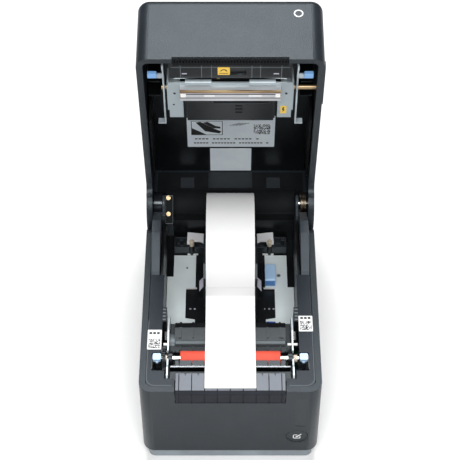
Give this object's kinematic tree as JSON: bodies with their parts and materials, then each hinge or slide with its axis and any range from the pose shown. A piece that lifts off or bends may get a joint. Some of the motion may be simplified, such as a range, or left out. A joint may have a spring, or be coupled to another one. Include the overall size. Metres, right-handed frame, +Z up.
{
  "type": "receipt printer",
  "caption": "Desktop thermal receipt and label printer with a top-loading roll bay, standing open, with a hinged lid, platen, cutter and roll guides.",
  "frame": {"origin": "bottom centre of the open printer's bounding box, on the table", "axes": "+X to the printer's right seen from its front, +Y from the front face to the rear, +Z up"},
  "size_m": [0.1434, 0.2582, 0.3016],
  "materials": {
    "case_dark": "fine-textured dark grey moulding",
    "plinth_grey": "light grey moulding",
    "foot_rubber": "matt black rubber",
    "deck_grey": "smooth dark grey moulding",
    "black_plastic": "satin black moulding",
    "steel_sheet": "zinc-plated sheet",
    "bright_steel": "ground bright steel",
    "platen_rubber": "coral silicone rubber",
    "gear_plastic": "natural acetal",
    "lever_blue": "pale blue moulding",
    "tab_blue": "blue moulding",
    "label_paper": "smooth thermal paper",
    "core_card": "brown card tube",
    "wing_white": "white moulding",
    "board_green": "circuit board lacquer",
    "window_dark": "smoked lamp window",
    "socket_black": "socket moulding",
    "head_ceramic": "glazed ceramic strip",
    "head_metal": "plain aluminium",
    "screw_brass": "passivated screw heads",
    "lip_grey": "ribbed grey moulding"
  },
  "bodies": {
    "base": {"lower_case": "case_dark", "base_plinth": "plinth_grey", "rubber_feet": "foot_rubber", "main_board": "board_green", "connector_panel": "black_plastic", "case_deck": "deck_grey", "roll_bay": "black_plastic", "bay_floor_plate": "steel_sheet", "bay_rear_rack": "black_plastic", "hinge_arm_left": "deck_grey", "hinge_arm_right": "deck_grey", "hinge_pins": "bright_steel", "hinge_damper": "bright_steel", "lid_spring": "bright_steel", "hinge_cover": "black_plastic", "bracket_screws": "screw_brass", "mechanism_frame": "steel_sheet", "platen_bushes": "black_plastic", "feed_motor": "steel_sheet", "guide_unit": "black_plastic", "guide_bar": "lip_grey", "fixed_blade": "bright_steel", "blade_holder": "black_plastic", "exit_lip": "lip_grey", "guide_wings": "wing_white", "label_web": "label_paper", "button_board": "board_green", "status_window": "window_dark", "power_inlet": "socket_black", "data_socket": "head_metal", "modular_jacks": "socket_black"},
    "lid": {"lid_shell": "case_dark", "lid_liner": "black_plastic", "lid_comb": "black_plastic", "cutter_housing": "black_plastic", "cutter_motor": "steel_sheet", "lid_frame": "steel_sheet", "head_bracket": "steel_sheet", "thermal_head": "head_ceramic", "heat_sink": "head_metal", "head_cover": "black_plastic"},
    "latch": {"latch_shaft": "screw_brass", "latch_arms": "steel_sheet", "latch_tabs": "tab_blue", "cover_open_lever": "case_dark"},
    "cutter_blade": {"moving_blade": "bright_steel"},
    "platen": {"platen_shaft": "bright_steel", "platen_roller": "platen_rubber", "platen_gear": "gear_plastic"},
    "idler": {"idler_gear": "gear_plastic"},
    "pinion": {"motor_pinion": "screw_brass"},
    "lever_left": {"release_lever_left": "lever_blue"},
    "lever_right": {"release_lever_right": "lever_blue"},
    "guide_left": {"roll_guide_left": "black_plastic"},
    "guide_right": {"roll_guide_right": "black_plastic"},
    "guide_lock": {"guide_lock_lever": "lever_blue"},
    "sensor": {"sensor_slider": "tab_blue"},
    "roll": {"label_roll": "label_paper", "roll_core": "core_card"},
    "button": {"feed_button": "case_dark"}
  },
  "joints": [
    {"name": "lid_hinge", "type": "hinge", "parent": "base", "child": "lid", "pos_m": [-0.0007, 0.06692, 0.0995], "axis": [1, 0, 0], "range_deg": [0, 80.6], "stiffness_Nm_per_rad": 0.15},
    {"name": "latch_turn", "type": "hinge", "parent": "lid", "child": "latch", "pos_m": [-0.0007, 0.05228, 0.24912], "axis": [1, 0, 0], "range_deg": [-5, 0], "stiffness_Nm_per_rad": 0.25, "springref_deg": 5.73},
    {"name": "cutter_slide", "type": "slide", "parent": "lid", "child": "cutter_blade", "axis": [0, -0.9866, -0.1633], "range_m": [0, 0.0082]},
    {"name": "platen_spin", "type": "hinge", "parent": "base", "child": "platen", "pos_m": [-0.0007, -0.08958, 0.088], "axis": [1, 0, 0], "continuous": true},
    {"name": "idler_spin", "type": "hinge", "parent": "base", "child": "idler", "pos_m": [-0.0537, -0.07715, 0.07961], "axis": [1, 0, 0], "continuous": true},
    {"name": "pinion_spin", "type": "hinge", "parent": "base", "child": "pinion", "pos_m": [-0.0537, -0.06906, 0.07567], "axis": [1, 0, 0], "continuous": true},
    {"name": "release_left_turn", "type": "hinge", "parent": "base", "child": "lever_left", "pos_m": [-0.0583, -0.09708, 0.082], "axis": [1, 0, 0], "range_deg": [0, 9], "stiffness_Nm_per_rad": 0.03, "springref_deg": -8.59},
    {"name": "release_right_turn", "type": "hinge", "parent": "base", "child": "lever_right", "pos_m": [0.0569, -0.09708, 0.082], "axis": [1, 0, 0], "range_deg": [0, 9], "stiffness_Nm_per_rad": 0.03, "springref_deg": -8.59},
    {"name": "guide_left_slide", "type": "slide", "parent": "base", "child": "guide_left", "axis": [-1, 0, 0], "range_m": [0, 0.014]},
    {"name": "guide_right_slide", "type": "slide", "parent": "base", "child": "guide_right", "axis": [1, 0, 0], "range_m": [0, 0.014]},
    {"name": "guide_lock_squeeze", "type": "slide", "parent": "guide_right", "child": "guide_lock", "axis": [-1, 0, 0], "range_m": [0, 0.0015], "stiffness_N_per_m": 400, "springref_m": -0.001},
    {"name": "sensor_slide", "type": "slide", "parent": "base", "child": "sensor", "axis": [-1, 0, 0], "range_m": [0, 0.012]},
    {"name": "roll_spin", "type": "hinge", "parent": "base", "child": "roll", "pos_m": [-0.0007, 0.01722, 0.0903], "axis": [1, 0, 0], "continuous": true},
    {"name": "feed_button_press", "type": "slide", "parent": "base", "child": "button", "axis": [0, 1, 0], "range_m": [0, 0.0012], "stiffness_N_per_m": 600, "springref_m": -0.0008}
  ],
  "couplings": [
    {"joint": "idler_spin", "follows": "platen_spin", "ratio": -1.5},
    {"joint": "pinion_spin", "follows": "platen_spin", "ratio": 3},
    {"joint": "guide_right_slide", "follows": "guide_left_slide", "ratio": 1}
  ]
}
